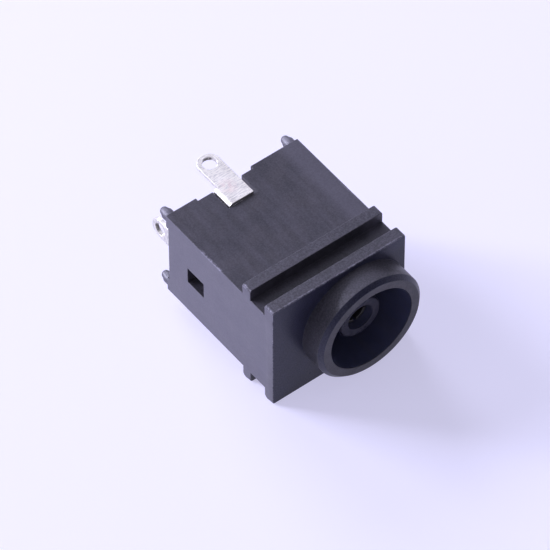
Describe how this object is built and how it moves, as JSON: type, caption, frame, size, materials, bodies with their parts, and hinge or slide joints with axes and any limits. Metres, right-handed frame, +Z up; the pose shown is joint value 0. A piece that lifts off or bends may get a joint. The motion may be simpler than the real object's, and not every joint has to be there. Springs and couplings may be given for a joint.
{
  "type": "dc barrel jack",
  "caption": "Flanged black plastic barrel jack: round collar and bore with a centre post, a panel groove, corner pegs and plated solder lugs at the rear.",
  "frame": {"origin": "on the bore axis, in the plane of the front plate's front face", "axes": "-Y along the bore axis out of the mouth, +Z up towards the side that the flat lug leaves over, +X to the right seen from the front"},
  "size_m": [0.0111, 0.0161, 0.0094],
  "materials": {
    "moulding": "black, fine satin grain",
    "plated_strip": "silver-coloured plating, brushed across",
    "turned_brass": "bright, pale plating over brass"
  },
  "bodies": {
    "root": {"housing": "moulding", "sleeve_contact": "plated_strip", "centre_terminal": "plated_strip", "centre_socket": "turned_brass"}
  },
  "joints": []
}
